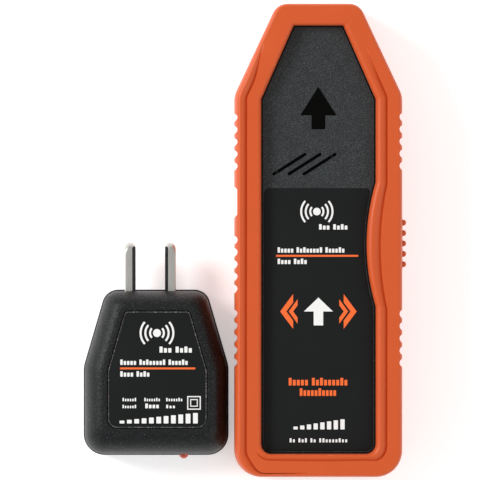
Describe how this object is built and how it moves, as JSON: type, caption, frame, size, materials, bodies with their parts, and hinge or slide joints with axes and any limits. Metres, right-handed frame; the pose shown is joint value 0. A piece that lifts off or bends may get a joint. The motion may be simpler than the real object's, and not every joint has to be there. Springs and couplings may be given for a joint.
{
  "type": "circuit breaker finder",
  "caption": "Hand-held receiver in an orange rubber boot with a pointing arrow window and side button, beside its plug-in transmitter with flat blades and a status lamp.",
  "frame": {"origin": "middle of the resting plane, under the centre of the pair's box", "axes": "+Z out of the front faces of both units, +Y towards the receiver's nose and the tips of the plug blades, +X from the transmitter to the receiver"},
  "size_m": [0.1024, 0.15, 0.0295],
  "materials": {
    "orange_rubber": "matte, fine texture",
    "case_plastic": "spark-textured dark grey",
    "back_plastic": "fine matte black",
    "label_film": "satin film",
    "window_plastic": "smoked, smooth",
    "white_plastic": "plain moulded",
    "chip_plastic": "moulded epoxy",
    "red_plastic": "smooth",
    "board_laminate": "solder mask",
    "green_led": "clear moulded",
    "brass": "thin spun disc",
    "ferrite": "ground ferrite",
    "copper_winding": "enamelled wire",
    "capacitor_sleeve": "shrunk sleeve",
    "bright_metal": "bright tin plate",
    "screw_steel": "zinc plate",
    "battery_metal": "printed jacket",
    "foam": "open foam",
    "black_plastic": "spark-textured black",
    "blade_metal": "nickel-plated brass, brushed",
    "resistor_body": "cemented body",
    "fuse_glass": "clear tube",
    "red_lens": "tinted dome"
  },
  "bodies": {
    "receiver": {"receiver_boot": "orange_rubber", "receiver_front_case": "case_plastic", "receiver_rear_case": "back_plastic", "receiver_label": "label_film", "arrow_window": "window_plastic", "tactile_switch": "chip_plastic", "main_board": "board_laminate", "microcontroller": "chip_plastic", "signal_amplifier": "chip_plastic", "arrow_leds": "green_led", "sounder_case": "chip_plastic", "sounder_disc": "brass", "pickup_core": "ferrite", "pickup_winding": "copper_winding", "supply_capacitor": "capacitor_sleeve", "clock_crystal": "bright_metal", "board_resistors": "chip_plastic", "board_screws": "screw_steel", "battery_jacket": "battery_metal", "battery_terminals": "bright_metal", "battery_snap": "chip_plastic", "battery_lead_positive": "red_plastic", "battery_lead_negative": "black_plastic", "battery_foam_pad": "foam", "receiver_screws": "screw_steel"},
    "button": {"power_button": "orange_rubber", "button_plunger": "white_plastic", "switch_actuator": "red_plastic"},
    "battery_door": {"battery_door": "back_plastic"},
    "transmitter": {"transmitter_front_shell": "black_plastic", "transmitter_rear_shell": "black_plastic", "transmitter_label": "label_film", "left_blade": "blade_metal", "right_blade": "blade_metal", "blade_inlays": "black_plastic", "blade_holder": "white_plastic", "transmitter_board": "board_laminate", "pulse_capacitor": "red_plastic", "load_resistor": "resistor_body", "pulse_triac": "chip_plastic", "control_chip": "chip_plastic", "line_fuse": "fuse_glass", "line_lead": "black_plastic", "neutral_lead": "white_plastic", "signal_led": "red_lens", "transmitter_screws": "screw_steel"}
  },
  "joints": [
    {"name": "power_button_press", "type": "slide", "parent": "receiver", "child": "button", "axis": [-1, 0, 0], "range_m": [0, 0.0008], "stiffness_N_per_m": 1000},
    {"name": "battery_door_slide", "type": "slide", "parent": "receiver", "child": "battery_door", "axis": [0, -1, 0], "range_m": [0, 0.058]},
    {"name": "transmitter_lift", "type": "slide", "parent": "receiver", "child": "transmitter", "axis": [0, 0, 1], "range_m": [0, 0.06]}
  ]
}
